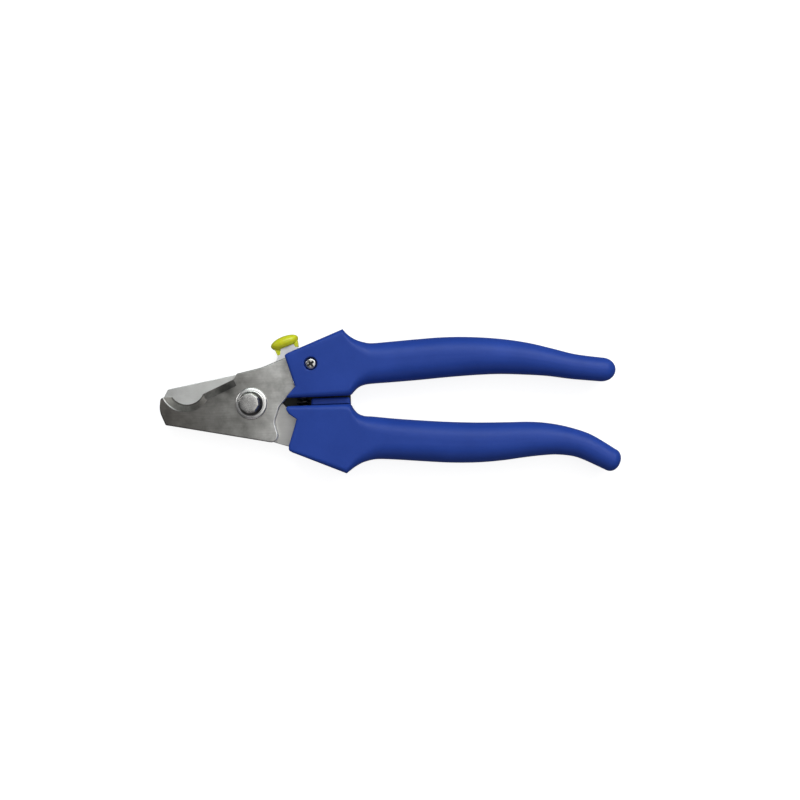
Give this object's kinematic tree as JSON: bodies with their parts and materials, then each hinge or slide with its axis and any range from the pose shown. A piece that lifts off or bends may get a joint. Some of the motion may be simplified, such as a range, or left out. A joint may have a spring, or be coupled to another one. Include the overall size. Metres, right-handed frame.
{
  "type": "scissor nail clipper",
  "caption": "Scissor nail clipper for claws, lying flat: notched steel blades on a rivet, curved plastic handles, a return spring between them and a thumb latch that locks the jaws shut.",
  "frame": {"origin": "on the pivot axis, at the flat end of the rivet's rear head, which is in the plane the closed clipper lies on", "axes": "+X from the pivot towards the free ends of the handles, +Z along the pivot axis, out of the front face that carries the latch screw's head, and +Y towards the handle that carries the latch"},
  "size_m": [0.1644, 0.0544, 0.013],
  "materials": {
    "blade_steel": "ground stainless plate, lightly brushed",
    "bright_steel": "polished steel",
    "spring_steel": "drawn wire",
    "blue_plastic": "satin moulded blue plastic",
    "yellow_plastic": "glossy yellow-green plastic",
    "black_plastic": "matte dark grey plastic",
    "nut_brass": "plain brass"
  },
  "bodies": {
    "upper_half": {"front_blade": "blade_steel", "upper_handle": "blue_plastic", "pivot_rivet": "bright_steel", "front_washer": "bright_steel", "rear_washer": "bright_steel", "opening_spring": "spring_steel", "latch_screw": "bright_steel", "latch_bush": "bright_steel", "latch_nut": "nut_brass", "latch_spring": "spring_steel"},
    "lower_half": {"back_blade": "blade_steel", "lower_handle": "blue_plastic", "spring_guard": "black_plastic"},
    "latch": {"latch_lever": "blade_steel", "thumb_button": "yellow_plastic"}
  },
  "joints": [
    {"name": "blade_pivot", "type": "hinge", "parent": "upper_half", "child": "lower_half", "pos_m": [0, 0, 0.0065], "axis": [0, 0, -1], "range_deg": [0, 24], "stiffness_Nm_per_rad": 0.75, "springref_deg": 34.38, "deforming": ["opening_spring"]},
    {"name": "latch_pivot", "type": "hinge", "parent": "upper_half", "child": "latch", "pos_m": [0.0219, 0.0133, 0.0052], "axis": [0, 0, 1], "range_deg": [0, 12.4], "stiffness_Nm_per_rad": 0.015, "springref_deg": -20.05, "deforming": ["latch_spring"]}
  ]
}
